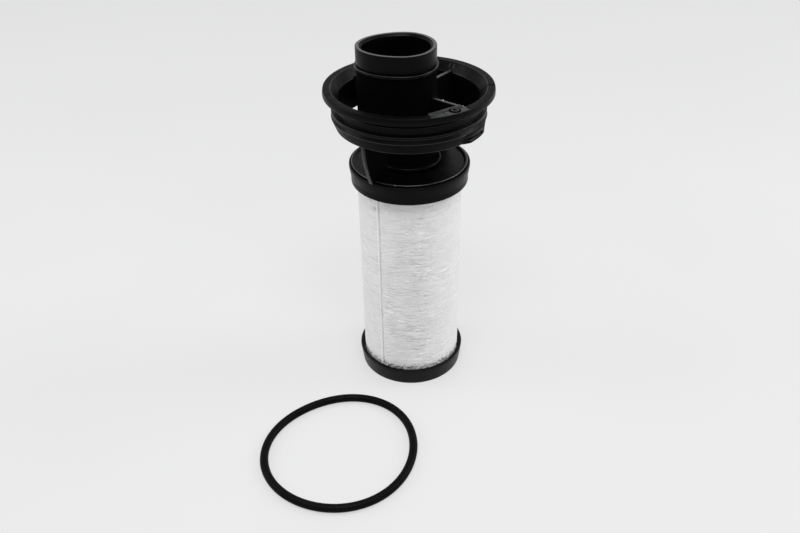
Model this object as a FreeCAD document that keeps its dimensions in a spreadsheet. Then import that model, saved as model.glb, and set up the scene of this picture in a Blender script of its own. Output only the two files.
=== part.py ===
import FreeCAD, Part

import math
import os

import Sketcher

from FreeCAD import Placement, Rotation, Vector

# Pleated coalescing filter element with a moulded connection head and a loose head seal.
# Millimetres.  Z runs up the element's axis, and z = 0 is the lower end cap's flat foot.
# The duct's pointed side faces -X.

SIZES = {
    # lower end cap
    "foot_radius": 35.0,
    "lower_rim_radius": 36.7,
    "lower_rim_top": 12.6,
    "floor_thick": 2.5,
    "pocket_radius": 33.9,
    "lower_rim_inner": 34.5,
    "edge_round": 0.8,
    # the stack of tubes between the end caps
    "stack_bottom": 4.5,
    "stack_top": 152.5,
    "core_inner": 17.2,
    "core_outer": 18.0,
    "inner_scrim_inner": 18.1,
    "inner_scrim_outer": 18.6,
    "media_inner": 18.7,
    "media_outer": 29.3,
    "pleat_radial_wall": 4.0,
    "pleat_count": 36,
    "outer_scrim_inner": 29.4,
    "outer_scrim_outer": 29.9,
    "cage_inner": 30.1,
    "cage_outer": 30.9,
    "felt_inner": 31.0,
    "felt_outer": 33.6,
    "core_window": 3.2,
    "cage_window": 3.8,
    "window_columns": 10,
    # welded seam of the felt sleeve
    "seam_width": 2.6,
    "seam_height": 0.45,
    # upper end cap
    "skirt_bottom": 145.1,
    "skirt_radius": 37.3,
    "skirt_inner": 34.6,
    "flange_radius": 38.3,
    "flange_bottom": 150.2,
    "flange_top": 154.4,
    "plate_bottom": 154.5,
    "plate_top": 157.2,
    "rim_bead_inner": 35.3,
    "rim_bead_outer": 36.8,
    "rim_bead_top": 158.3,
    "spigot_hole": 16.6,
    "potting_hole": 16.8,
    "potting_boss": 7.0,
    # ring where the duct is welded to the upper end cap
    "weld_ring_radius": 20.0,
    "weld_ring_top": 160.5,
    # duct
    "duct_top": 231.8,
    "duct_band_bottom": 221.6,
    "duct_bead_top": 220.7,
    "duct_bead_bottom": 219.2,
    "duct_shoulder": 190.0,
    "duct_neck_top": 166.0,
    "duct_spigot_bottom": 150.0,
    "spigot_radius": 16.5,
    "duct_wall": 3.6,
    "duct_centre_x": -3.1,
    "duct_point_length": 28.2,
    "duct_round_length": 19.9,
    "duct_half_width": 22.7,
    "duct_bead_grow": 1.0,
    "duct_groove_depth": 0.9,
    "lip_width": 2.0,
    "lead_in_depth": 1.4,
    # sealing collar
    "lip_top": 207.2,
    "lip_inner": 47.2,
    "rim_radius": 52.0,
    "rim_bottom": 203.3,
    "collar_bore": 42.8,
    "collar_foot_bore": 41.7,
    "flare_bottom": 201.6,
    "seal_floor": 45.0,
    "undercut_floor": 43.9,
    "undercut_bottom": 198.9,
    "seal_groove_top": 201.7,
    "seal_groove_bottom": 194.2,
    "bead_radius": 47.4,
    "bead_bottom": 192.6,
    "relief_floor": 45.2,
    "relief_bottom": 191.3,
    "land_radius": 47.7,
    "land_top": 189.8,
    "collar_foot_radius": 45.0,
    "collar_bottom": 183.0,
    # ribs and struts between the duct, the collar and the upper end cap
    "rib_thick": 2.0,
    "rib_inner": 8.0,
    "rib_top": 203.0,
    "rib_bottom": 186.0,
    "strut_thick": 3.0,
    "strut_inner": 24.0,
    "strut_belly": 43.3,
    "strut_belly_level": 170.6,
    "strut_foot_radius": 38.7,
    "strut_foot_level": 156.4,
    "pad_inner": 39.2,
    "pad_top": 184.5,
    "pad_angle": 20.0,
    # shelf inside the collar's lip, with its two moulding marks
    "shelf_inner": 42.0,
    "shelf_top": 207.2,
    "shelf_thick": 1.6,
    "shelf_angle": 28.6,
    "insert_radius": 3.5,
    "insert_height": 0.4,
    "pin_mark_radius": 0.9,
    "pin_mark_height": 0.5,
    # locking lug on the collar's lower land
    "lug_radius": 48.4,
    "lug_foot_radius": 47.0,
    "lug_bottom": 184.0,
    "lug_angle": 32.0,
    "lug_slot_low": 185.0,
    "lug_slot_high": 187.0,
    "lug_slot_floor": 46.9,
    "lug_slot_angle": 20.0,
    # loose head seal
    "seal_ring_radius": 47.4,
    "seal_cord_radius": 2.665,
    "seal_x": -46.6,
    "seal_y": -99.4,
}

# Directions around Z in degrees, counted from +X.
RIB_ANGLES = {"rib_front_right": -38.4, "rib_back_right": 52.0, "rib_back_left": 141.0}
STRUT_ANGLES = {"strut_front_left": -127.0, "strut_back": 53.0}
PAD_START = 35.0
SEAM_ANGLE = -129.6
SHELF_START = -76.4
LUG_ANGLE = -31.0
INSERT_PLACE = (47.2, -57.0)
PIN_MARK_PLACE = (47.8, -64.7)

doc = FreeCAD.newDocument("filter_element")
NODES = []


def make_sheet():
    sheet = doc.addObject("Spreadsheet::Sheet", "Sizes")
    for row, (name, value) in enumerate(SIZES.items(), start=1):
        sheet.set(f"A{row}", name)
        sheet.set(f"B{row}", str(value))
        sheet.setAlias(f"B{row}", name)
    doc.recompute()
    return sheet


sheet = make_sheet()


def size(name):
    """A driving dimension as the sheet holds it."""
    return float(sheet.get(name))


def bound(text):
    """The text with each driving dimension named as a cell of the sheet."""
    words = text.replace("(", "( ").replace(")", " )").split()
    return " ".join("Sizes." + word if word in SIZES else word for word in words)


def measure(text):
    return float(sheet.evalExpression(bound(text)))


def new_body(name):
    body = doc.addObject("PartDesign::Body", name)
    body.Label = name
    NODES.append(body)
    return body


def new_sketch(body, name, plane, level=None):
    """A sketch on one of the body's origin planes, lifted to a level where one is given."""
    sketch = body.newObject("Sketcher::SketchObject", name)
    origin_plane = next(f for f in body.Origin.OriginFeatures if f.Role == plane)
    sketch.AttachmentSupport = [(origin_plane, "")]
    sketch.MapMode = "FlatFace"
    if level is not None:
        sketch.setExpression("AttachmentOffset.Base.z", bound(level))
    return sketch


def pin_point(sketch, geometry, place, corner):
    """Dimension one end of a line or arc from the sketch's origin."""
    for kind, text in zip(("DistanceX", "DistanceY"), corner):
        distance = Sketcher.Constraint(kind, -1, 1, geometry, place, measure(text))
        index = sketch.addConstraint(distance)
        sketch.setExpression(f"Constraints[{index}]", bound(text))


def edges_between(sketch, corners):
    """Straight edges from each corner to the next, both ends dimensioned from the origin."""
    points = [Vector(measure(across), measure(up), 0) for across, up in corners]
    for index, (start, end) in enumerate(zip(points, points[1:])):
        sketch.addGeometry(Part.LineSegment(start, end), False)
        pin_point(sketch, index, 1, corners[index])
        pin_point(sketch, index, 2, corners[index + 1])
    return points


def outline(sketch, corners):
    """A closed outline of straight edges."""
    edges_between(sketch, [*corners, corners[0]])


def turned(name, corners, angle=None, both_ways=False):
    """A body turned about Z from an outline of (radius, height) corners."""
    body = new_body(name)
    sketch = new_sketch(body, name + "_outline", "XZ_Plane")
    outline(sketch, corners)
    turn = body.newObject("PartDesign::Revolution", name + "_turn")
    turn.Profile = sketch
    turn.ReferenceAxis = (sketch, ["V_Axis"])
    turn.Angle = 360.0
    turn.Midplane = both_ways
    if angle is not None:
        turn.setExpression("Angle", bound(angle))
    sketch.Visibility = False
    doc.recompute()
    return body


def tube(name, inner, outer, bottom, top):
    corners = [(inner, bottom), (outer, bottom), (outer, top), (inner, top)]
    return turned(name, corners)


def rings_of(shape, places):
    """The names of the round edges that lie at the given (radius, height) places."""
    names = []
    for index, edge in enumerate(shape.Edges, start=1):
        if not isinstance(edge.Curve, Part.Circle):
            continue
        for radius, height in places:
            same_radius = abs(edge.Curve.Radius - measure(radius)) < 0.01
            if same_radius and abs(edge.Curve.Center.z - measure(height)) < 0.01:
                names.append(f"Edge{index}")
    return names


def round_rings(body, places, radius="edge_round"):
    """Fillet the round edges at the given (radius, height) places."""
    base = body.Tip
    fillet = body.newObject("PartDesign::Fillet", f"{body.Name}_round")
    fillet.Base = (base, rings_of(base.Shape, places))
    fillet.setExpression("Radius", bound(radius))
    body.Tip = fillet
    doc.recompute()


def spin(obj, degrees):
    """Turn a sub-part about Z into its direction."""
    obj.Placement = Placement(Vector(0, 0, 0), Rotation(Vector(0, 0, 1), degrees))


def windows(body, radius, outer, rows):
    """Cut rows and columns of round windows through a tube's wall."""
    sketch = new_sketch(body, body.Name + "_windows", "XZ_Plane")
    bottom, top = size("stack_bottom"), size("stack_top")
    for row in range(rows):
        level = bottom + (row + 0.5) * (top - bottom) / rows
        centre = Vector(0, level, 0)
        sketch.addGeometry(Part.Circle(centre, Vector(0, 0, 1), size(radius)), False)
    before = body.Shape.Volume
    pocket = body.newObject("PartDesign::Pocket", body.Name + "_column")
    pocket.Profile = sketch
    pocket.setExpression("Length", bound(f"{outer} + 2"))
    doc.recompute()
    if pocket.Shape.Volume > before - 1:
        raise RuntimeError(f"the windows of {body.Name} cut nothing")
    pattern = body.newObject("PartDesign::PolarPattern", body.Name + "_around")
    pattern.Originals = [pocket]
    pattern.Axis = (next(f for f in body.Origin.OriginFeatures if f.Role == "Z_Axis"), [""])
    pattern.Angle = 360.0
    pattern.setExpression("Occurrences", "Sizes.window_columns")
    body.Tip = pattern
    sketch.Visibility = False
    doc.recompute()


# ---- end caps and potting ----

def make_lower_cap():
    cap = turned("lower_end_cap", [
        ("0", "0"), ("foot_radius", "0"), ("lower_rim_radius", "lower_rim_top"),
        ("lower_rim_inner", "lower_rim_top"), ("pocket_radius", "stack_bottom"),
        ("pocket_radius - 1", "floor_thick"), ("0", "floor_thick")])
    round_rings(cap, [("foot_radius", "0"), ("lower_rim_radius", "lower_rim_top")])


def make_lower_potting():
    turned("lower_potting", [
        ("0", "floor_thick"), ("pocket_radius - 1.1", "floor_thick"),
        ("pocket_radius - 0.1", "stack_bottom"), ("core_inner - 0.2", "stack_bottom"),
        ("core_inner - 0.2", "potting_boss"), ("0", "potting_boss")])


def make_upper_potting():
    turned("upper_potting", [
        ("potting_hole", "stack_top"), ("skirt_inner - 0.1", "stack_top"),
        ("skirt_inner - 0.1", "plate_bottom"), ("potting_hole", "plate_bottom")])


def make_upper_cap():
    cap = turned("upper_end_cap", [
        ("spigot_hole", "plate_bottom"), ("skirt_inner", "plate_bottom"),
        ("skirt_inner", "skirt_bottom"), ("skirt_radius", "skirt_bottom"),
        ("skirt_radius", "flange_bottom"), ("flange_radius", "flange_top"),
        ("flange_radius", "plate_top"), ("rim_bead_outer + 0.5", "plate_top"),
        ("rim_bead_outer + 0.2", "plate_top - 0.5"), ("rim_bead_outer", "plate_top"),
        ("rim_bead_outer", "rim_bead_top"), ("rim_bead_inner", "rim_bead_top"),
        ("rim_bead_inner - 0.8", "plate_top"), ("spigot_hole", "plate_top")])
    round_rings(cap, [("rim_bead_outer", "rim_bead_top")])


# ---- the stack: support tubes, scrims, pleated medium, felt sleeve ----

def make_support_tubes():
    core = tube("inner_support_tube", "core_inner", "core_outer", "stack_bottom", "stack_top")
    windows(core, "core_window", "core_outer", rows=14)
    cage = tube("outer_support_tube", "cage_inner", "cage_outer", "stack_bottom", "stack_top")
    windows(cage, "cage_window", "cage_outer", rows=12)


def make_scrims():
    for side in ("inner", "outer"):
        tube(f"{side}_scrim", f"{side}_scrim_inner", f"{side}_scrim_outer",
             "stack_bottom", "stack_top")


def make_media():
    """One pleat, folded on +X at its outer edge, repeated round the axis."""
    body = new_body("pleated_media")
    sketch = new_sketch(body, "pleat_outline", "XY_Plane", "stack_bottom")
    half = "180 / pleat_count"
    valley = "media_inner + pleat_radial_wall"
    outline(sketch, [
        ("media_outer - pleat_radial_wall", "0"),
        (f"media_inner * cos({half})", f"media_inner * sin({half})"),
        (f"({valley}) * cos({half})", f"({valley}) * sin({half})"),
        ("media_outer", "0"),
        (f"({valley}) * cos({half})", f"-1 * ({valley}) * sin({half})"),
        (f"media_inner * cos({half})", f"-1 * media_inner * sin({half})")])
    pleat = body.newObject("PartDesign::Pad", "pleat")
    pleat.Profile = sketch
    pleat.setExpression("Length", bound("stack_top - stack_bottom"))
    doc.recompute()
    pattern = body.newObject("PartDesign::PolarPattern", "pleats_around")
    pattern.Originals = [pleat]
    pattern.Axis = (next(f for f in body.Origin.OriginFeatures if f.Role == "Z_Axis"), [""])
    pattern.Angle = 360.0
    pattern.setExpression("Occurrences", "Sizes.pleat_count")
    body.Tip = pattern
    sketch.Visibility = False
    doc.recompute()


def make_sleeve():
    tube("drainage_sleeve", "felt_inner", "felt_outer", "stack_bottom", "stack_top")


def make_seam():
    """The heat-welded strip that closes the felt sleeve, from cap to cap."""
    strip = doc.addObject("Part::Cylinder", "sleeve_seam_outside")
    strip.setExpression("Radius", bound("felt_outer + seam_height"))
    strip.setExpression("Height", bound("skirt_bottom - lower_rim_top + 2"))
    strip.setExpression("Angle", bound("seam_width / felt_outer * 57.3"))
    inside = doc.addObject("Part::Cylinder", "sleeve_seam_inside")
    inside.setExpression("Radius", "Sizes.felt_outer")
    inside.setExpression("Height", bound("skirt_bottom - lower_rim_top + 2"))
    seam = doc.addObject("Part::Cut", "sleeve_seam")
    seam.Base = strip
    seam.Tool = inside
    seam.Label = "sleeve_seam"
    level = size("lower_rim_top") - 1
    seam.Placement = Placement(Vector(0, 0, level), Rotation(Vector(0, 0, 1), SEAM_ANGLE))
    NODES.append(seam)


# ---- connection head ----

def make_weld_ring():
    ring = turned("weld_ring", [
        ("spigot_hole", "plate_top"), ("weld_ring_radius", "plate_top"),
        ("weld_ring_radius", "weld_ring_top"), ("spigot_hole", "weld_ring_top")])
    round_rings(ring, [("weld_ring_radius", "weld_ring_top")])


def make_collar():
    collar = turned("sealing_collar", [
        ("lip_inner", "lip_top"), ("rim_radius", "lip_top"), ("rim_radius", "rim_bottom"),
        ("rim_radius - 1.6", "rim_bottom - 0.8"),
        ("undercut_floor", "seal_groove_top"), ("undercut_floor", "undercut_bottom"),
        ("seal_floor", "undercut_bottom"), ("seal_floor", "seal_groove_bottom"),
        ("bead_radius", "seal_groove_bottom"), ("bead_radius", "bead_bottom"),
        ("relief_floor", "bead_bottom"), ("relief_floor", "relief_bottom"),
        ("land_radius", "land_top"), ("collar_foot_radius", "collar_bottom"),
        ("collar_foot_bore", "collar_bottom"), ("collar_bore", "flare_bottom")])
    round_rings(collar, [("rim_radius", "lip_top"), ("rim_radius", "rim_bottom")])


def bore_at(level):
    """The radius of the collar's drafted bore at a level."""
    slope = "(collar_bore - collar_foot_bore) / (flare_bottom - collar_bottom)"
    return f"collar_foot_bore + ({level} - collar_bottom) * {slope}"


def flare_at(level):
    """The radius of the collar's flare, from the bore out to the lip, at a level."""
    slope = "(lip_inner - collar_bore) / (lip_top - flare_bottom)"
    return f"collar_bore + ({level} - flare_bottom) * {slope}"


def egg_wire(level, grow):
    """The duct's plan: half an ellipse to the round side, a longer one to the point."""
    centre = Vector(size("duct_centre_x"), 0, level)
    half_width = size("duct_half_width") + grow
    arcs = []
    for side, length in ((1, "duct_round_length"), (-1, "duct_point_length")):
        reach = size(length) + grow
        tip = centre + Vector(side * reach, 0, 0)
        flank = centre + Vector(0, side * half_width, 0)
        if reach > half_width:
            ellipse = Part.Ellipse(tip, flank, centre)
            arcs.append(ellipse.toShape(-math.pi / 2, math.pi / 2))
        else:
            ellipse = Part.Ellipse(flank, centre - Vector(side * reach, 0, 0), centre)
            arcs.append(ellipse.toShape(-math.pi, 0))
    return Part.Wire(Part.__sortEdges__(arcs))


def egg_slab(bottom, top, grow):
    low, high = size(bottom), size(top)
    return Part.Face(egg_wire(low, grow)).extrude(Vector(0, 0, high - low))


def duct_solid(inset):
    """The duct's envelope without its bead, groove and band, moved inward by the inset."""
    shoulder, neck_top = size("duct_shoulder"), size("duct_neck_top")
    radius = size("spigot_radius") - inset
    circle = Part.Circle(Vector(0, 0, neck_top), Vector(0, 0, 1), radius)
    round_wire = Part.Wire([circle.toShape(-math.pi / 2, math.pi / 2),
                            circle.toShape(math.pi / 2, 3 * math.pi / 2)])
    taper = Part.makeLoft([egg_wire(shoulder, -inset), round_wire], True)
    spigot_height = neck_top - size("duct_spigot_bottom")
    spigot = Part.makeCylinder(radius, spigot_height,
                               Vector(0, 0, size("duct_spigot_bottom")))
    straight = egg_slab("duct_shoulder", "duct_top", -inset)
    return straight.fuse([taper, spigot])


def lead_in():
    """The sloping way into the duct's mouth, inside a flat lip."""
    top = size("duct_top")
    inner = egg_wire(top - size("lead_in_depth"), -size("duct_wall"))
    return Part.makeLoft([inner, egg_wire(top, -size("lip_width"))], True)


def make_duct():
    groove_depth = size("duct_groove_depth")
    groove = egg_slab("duct_bead_top", "duct_band_bottom", 2.0)
    groove = groove.cut(egg_slab("duct_bead_top", "duct_band_bottom", -groove_depth))
    bead = egg_slab("duct_bead_bottom", "duct_bead_top", size("duct_bead_grow"))
    way = [groove, duct_solid(size("duct_wall")), lead_in()]
    shape = duct_solid(0.0).fuse(bead).cut(way)
    duct = doc.addObject("Part::Feature", "inlet_duct")
    duct.Label = "inlet_duct"
    duct.Shape = shape.removeSplitter()
    NODES.append(duct)


def duct_block():
    """A hidden solid of the duct's outside, which ribs and struts are trimmed against."""
    block = doc.addObject("Part::Feature", "duct_envelope")
    block.Shape = duct_solid(0.0)
    return block


def trimmed(name, blank, tool, angle):
    """The blank turned into its direction, less the duct's outside."""
    spin(blank, angle)
    part = doc.addObject("Part::Cut", name)
    part.Base = blank
    part.Tool = tool
    return part


def keep(part):
    """Count a finished part as one of the assembly's nodes."""
    part.Label = part.Name
    NODES.append(part)


def plate(name, corners, belly=None, thick="rib_thick"):
    """A plate in the XZ plane.  A belly point bows the edge from the last corner to the first."""
    body = doc.addObject("PartDesign::Body", name + "_blank")
    sketch = new_sketch(body, name + "_outline", "XZ_Plane")
    if belly is None:
        outline(sketch, corners)
    else:
        points = edges_between(sketch, corners)
        bow = Vector(measure(belly[0]), measure(belly[1]), 0)
        sketch.addGeometry(Part.Arc(points[-1], bow, points[0]), False)
    pad = body.newObject("PartDesign::Pad", name + "_pad")
    pad.Profile = sketch
    pad.Midplane = True
    pad.setExpression("Length", bound(thick))
    doc.recompute()
    return body


def make_ribs(envelope):
    """Plates across the gap, whose outer ends follow the collar's drafted bore and flare."""
    corners = [("rib_inner", "rib_bottom"), (bore_at("rib_bottom"), "rib_bottom"),
               ("collar_bore", "flare_bottom"), (flare_at("rib_top"), "rib_top"),
               ("rib_inner", "rib_top")]
    for name, angle in RIB_ANGLES.items():
        keep(trimmed(name, plate(name, corners), envelope, angle))


def make_struts(envelope):
    """Plates whose outer edge bows from the collar's foot down to the cap's rim."""
    corners = [("collar_foot_radius", "collar_bottom"), ("strut_inner", "collar_bottom"),
               ("strut_inner", "plate_top"), ("rim_bead_inner - 0.8", "plate_top"),
               ("rim_bead_inner", "rim_bead_top"), ("rim_bead_outer", "rim_bead_top"),
               ("flange_radius", "rim_bead_top"), ("flange_radius", "strut_foot_level"),
               ("strut_foot_radius", "strut_foot_level")]
    belly = ("strut_belly", "strut_belly_level")
    cuts = {}
    for name, angle in STRUT_ANGLES.items():
        blank = plate(name, corners, belly, "strut_thick")
        cuts[name] = trimmed(name, blank, envelope, angle)
    keep(cuts["strut_front_left"])
    whole = doc.addObject("Part::MultiFuse", "strut_back_right")
    whole.Shapes = [cuts["strut_back"], strut_pad()]
    keep(whole)


def strut_pad():
    """The curved pad that spreads the back strut's top along the collar's bore."""
    pad = turned("strut_pad", [
        ("pad_inner", "collar_bottom"), ("collar_foot_bore", "collar_bottom"),
        (bore_at("pad_top"), "pad_top"), ("pad_inner", "pad_top")], angle="pad_angle")
    NODES.remove(pad)
    spin(pad, PAD_START)
    return pad


def make_shelf(envelope):
    """A flat web on the flare, flush with the lip, that carries two moulding marks."""
    under = "shelf_top - shelf_thick"
    blank = turned("collar_shelf_blank", [
        ("shelf_inner", under), (flare_at(under), under),
        ("lip_inner", "shelf_top"), ("shelf_inner", "shelf_top")], angle="shelf_angle")
    NODES.remove(blank)
    keep(trimmed("collar_shelf", blank, envelope, SHELF_START))


def make_mark(name, radius, height, place):
    """A small disc that stands on the shelf and lip at (distance from the axis, direction)."""
    disc = doc.addObject("Part::Cylinder", name)
    disc.Label = name
    disc.setExpression("Radius", bound(radius))
    disc.setExpression("Height", bound(height))
    reach, angle = place
    turn = Rotation(Vector(0, 0, 1), angle)
    spot = turn.multVec(Vector(reach, 0, 0)) + Vector(0, 0, size("shelf_top"))
    disc.Placement = Placement(spot, turn)
    NODES.append(disc)


def make_lug():
    """The upright lug on the collar's tapered land, with a slot along its outer face."""
    lug = turned("locking_lug", [
        ("collar_foot_radius", "collar_bottom"), ("lug_foot_radius", "collar_bottom"),
        ("lug_radius", "lug_bottom"), ("lug_radius", "land_top"),
        ("land_radius", "land_top")], angle="lug_angle", both_ways=True)
    before = lug.Shape.Volume
    sketch = new_sketch(lug, "lug_slot_outline", "XZ_Plane")
    outline(sketch, [
        ("lug_slot_floor", "lug_slot_low"), ("lug_radius + 1", "lug_slot_low"),
        ("lug_radius + 1", "lug_slot_high"), ("lug_slot_floor", "lug_slot_high")])
    slot = lug.newObject("PartDesign::Groove", "lug_slot")
    slot.Profile = sketch
    slot.ReferenceAxis = (sketch, ["V_Axis"])
    slot.Midplane = True
    slot.setExpression("Angle", "Sizes.lug_slot_angle")
    sketch.Visibility = False
    doc.recompute()
    if lug.Shape.Volume > before - 1:
        raise RuntimeError("the lug's slot cuts nothing")
    spin(lug, LUG_ANGLE)


def make_seal():
    ring = doc.addObject("Part::Torus", "head_seal")
    ring.Label = "head_seal"
    ring.setExpression("Radius1", "Sizes.seal_ring_radius")
    ring.setExpression("Radius2", "Sizes.seal_cord_radius")
    ring.Placement = Placement(
        Vector(size("seal_x"), size("seal_y"), size("seal_cord_radius")), Rotation())
    NODES.append(ring)


def build():
    make_lower_cap()
    make_lower_potting()
    make_support_tubes()
    make_scrims()
    make_media()
    make_sleeve()
    make_seam()
    make_upper_potting()
    make_upper_cap()
    make_weld_ring()
    make_duct()
    envelope = duct_block()
    make_collar()
    make_ribs(envelope)
    make_struts(envelope)
    make_shelf(envelope)
    make_mark("mould_insert", "insert_radius", "insert_height", INSERT_PLACE)
    make_mark("ejector_mark", "pin_mark_radius", "pin_mark_height", PIN_MARK_PLACE)
    make_lug()
    make_seal()
    doc.recompute()


def export():
    for obj in doc.Objects:
        if "Invalid" in obj.State or "Error" in obj.State:
            raise RuntimeError(f"{obj.Name} failed: {obj.State}")
    for node in NODES:
        if node.Shape.isNull() or not node.Shape.isValid():
            raise RuntimeError(f"{node.Label} has no valid shape")
    os.makedirs("parts", exist_ok=True)
    for node in NODES:
        node.Shape.exportStep(f"parts/{node.Label}.step")
        print(f"{node.Label:22s} {node.Shape.Volume / 1000:8.2f} cm3  {len(node.Shape.Solids)} solid")


build()
export()
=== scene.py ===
import math

import bmesh
import bpy
import numpy as np
from mathutils import Matrix, Vector, noise


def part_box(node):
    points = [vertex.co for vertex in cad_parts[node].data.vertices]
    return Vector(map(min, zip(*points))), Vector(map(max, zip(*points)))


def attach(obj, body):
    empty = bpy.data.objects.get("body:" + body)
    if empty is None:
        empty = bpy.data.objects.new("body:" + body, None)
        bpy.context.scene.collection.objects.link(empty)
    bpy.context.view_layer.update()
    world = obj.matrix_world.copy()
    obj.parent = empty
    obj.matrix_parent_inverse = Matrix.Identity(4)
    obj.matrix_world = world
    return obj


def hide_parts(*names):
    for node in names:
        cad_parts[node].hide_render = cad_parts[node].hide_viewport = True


# Looks of the filter element: lathe-turned mouldings, a wrinkled felt sleeve and a rubber ring,
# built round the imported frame.  Lengths below are millimetres unless a name says otherwise.

MM = 0.001
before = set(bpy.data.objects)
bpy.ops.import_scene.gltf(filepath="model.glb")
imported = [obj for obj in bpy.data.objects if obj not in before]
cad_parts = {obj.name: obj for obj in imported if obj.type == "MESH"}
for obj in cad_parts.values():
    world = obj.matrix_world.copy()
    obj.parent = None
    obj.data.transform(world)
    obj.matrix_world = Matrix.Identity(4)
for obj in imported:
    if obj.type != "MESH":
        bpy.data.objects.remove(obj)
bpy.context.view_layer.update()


def corner(node, high, axis):
    """One coordinate of a node's box, in millimetres."""
    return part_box(node)[1 if high else 0][axis] / MM


# ---- driving dimensions, read from the frame or given ----

FOOT_RIM_RADIUS = corner("lower_end_cap", True, 0)
FOOT_RADIUS = 35.0
FOOT_TOP = corner("lower_end_cap", True, 2)
FELT_RADIUS = corner("drainage_sleeve", True, 0)
FELT_BOTTOM = corner("drainage_sleeve", False, 2)
FELT_TOP = corner("drainage_sleeve", True, 2)
FELT_THICK = 2.5
SKIRT_BOTTOM = corner("upper_end_cap", False, 2)
FLANGE_RADIUS = corner("upper_end_cap", True, 0)
CAP_TOP = corner("upper_end_cap", True, 2)
PLATE_TOP = corner("weld_ring", False, 2)
WELD_RADIUS = corner("weld_ring", True, 0)
WELD_TOP = corner("weld_ring", True, 2)
RIM_RADIUS = corner("sealing_collar", True, 0)
LIP_TOP = corner("sealing_collar", True, 2)
COLLAR_BOTTOM = corner("sealing_collar", False, 2)
COLLAR_BORE, COLLAR_FOOT_BORE = 42.8, 41.7
LIP_INNER = 47.2
GROOVE_FLOOR, UNDERCUT_FLOOR, RELIEF_FLOOR, BEAD_RADIUS = 45.0, 43.9, 46.4, 47.4
SHELF_START, SHELF_END = -76.4, -47.8
INSERT_PLACE, PIN_MARK_PLACE = (47.2, -57.0), (47.8, -64.7)
LUG_START, LUG_SPAN, LUG_RADIUS = -47.0, 32.0, 48.4
SLOT_ANGLE, SLOT_LOW, SLOT_HIGH = -35.5, 184.9, 187.1
FLARE_BOTTOM = 201.6
LAND_RADIUS, LAND_TOP, COLLAR_FOOT = 47.7, 189.8, 45.0
DUCT_TOP = corner("inlet_duct", True, 2)
DUCT_BOTTOM = corner("inlet_duct", False, 2)
DUCT_SHOULDER, DUCT_NECK_TOP, DUCT_WALL = 190.0, 166.0, 3.6
SPIGOT_RADIUS = 16.5
BEAD_GROW = 1.0
HALF_WIDTH = corner("inlet_duct", True, 1) - BEAD_GROW
DUCT_CENTRE = -3.1
ROUND_LENGTH = corner("inlet_duct", True, 0) - BEAD_GROW - DUCT_CENTRE
POINT_LENGTH = DUCT_CENTRE - corner("inlet_duct", False, 0) - BEAD_GROW
SHELF_TOP = corner("collar_shelf", True, 2)
SEAL_LOW, SEAL_HIGH = (Vector(c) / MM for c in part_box("head_seal"))

STRUTS = {"strut_front_left": -127.0, "strut_back_right": 53.0}
RIBS = {"rib_front_right": -38.4, "rib_back_right": 52.0, "rib_back_left": 141.0}
SEAM_ANGLE = math.radians(-127.4)
AROUND = 288
ANGLES = np.arange(AROUND) * 2 * math.pi / AROUND


# ---- mesh helpers ----

def new_object(name, verts, faces, material, body, node=None):
    """A smooth-shaded piece from vertices in millimetres."""
    mesh = bpy.data.meshes.new(name)
    mesh.from_pydata((np.asarray(verts, float) * MM).tolist(), [], faces)
    mesh.validate()
    mesh.polygons.foreach_set("use_smooth", [True] * len(mesh.polygons))
    return place_piece(mesh, material, node, body)


def place_piece(mesh, material, node=None, body="element"):
    """The piece that shows a mesh, on its body and in its material slot."""
    obj = bpy.data.objects.new(mesh.name, mesh)
    bpy.context.scene.collection.objects.link(obj)
    mesh.materials.append(material)
    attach(obj, body)
    if node:
        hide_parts(node)
    return obj


def grid_faces(rings, around, closed_up, closed_round=True):
    """Quads between successive rings of points."""
    faces = []
    for ring in range(rings if closed_up else rings - 1):
        upper = (ring + 1) % rings
        for step in range(around if closed_round else around - 1):
            after = (step + 1) % around
            faces.append((ring * around + step, ring * around + after,
                          upper * around + after, upper * around + step))
    return faces


def rounded(corners, steps=4):
    """Points of a closed outline whose (across, up, radius) corners are rounded by arcs."""
    points = []
    count = len(corners)
    for index, (across, up, radius) in enumerate(corners):
        here = Vector((across, up))
        if radius <= 0:
            points.append(here)
            continue
        back = Vector(corners[index - 1][:2]) - here
        ahead = Vector(corners[(index + 1) % count][:2]) - here
        half = back.angle(ahead) / 2
        cut = min(radius / math.tan(half), back.length * 0.49, ahead.length * 0.49)
        start = here + back.normalized() * cut
        end = here + ahead.normalized() * cut
        for step in range(steps + 1):
            share = step / steps
            one, two = start.lerp(here, share), here.lerp(end, share)
            points.append(one.lerp(two, share))
    return points


def split_long(points, longest):
    """The closed outline again, with points added along its long runs."""
    result = []
    for index, point in enumerate(points):
        after = points[(index + 1) % len(points)]
        pieces = max(1, math.ceil((after - point).length / longest))
        result += [point.lerp(after, step / pieces) for step in range(pieces)]
    return result


def ridges(corners):
    """The (across, up, radius) corners of a closed outline that stick out and are rounded."""
    found = []
    points = [Vector(place[:2]) for place in corners]
    area = sum(a.cross(b) for a, b in zip(points, points[1:] + points[:1]))
    for index, here in enumerate(points):
        after = points[(index + 1) % len(points)]
        if (here - points[index - 1]).cross(after - here) * area > 0 and corners[index][2] > 0.15:
            found.append((here, corners[index][2]))
    return found


def paint_rows(obj, outline, corners, zones):
    """Give each row of faces the first zone's material whose test of the row is passed.

    A test gets the row's middle, across and up, and whether it lies on an edge that sticks out."""
    edges = ridges(corners)
    for material, _ in zones:
        obj.data.materials.append(material)
    for row, (point, after) in enumerate(zip(outline, outline[1:] + outline[:1])):
        middle = (point + after) / 2
        highlit_edge = any((middle - place).length < radius for place, radius in edges)
        passed = [slot for slot, (_, test) in enumerate(zones, start=1)
                  if test(middle.x, middle.y, highlit_edge)]
        for face in obj.data.polygons[row * AROUND:(row + 1) * AROUND] if passed else ():
            face.material_index = passed[0]


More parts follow.
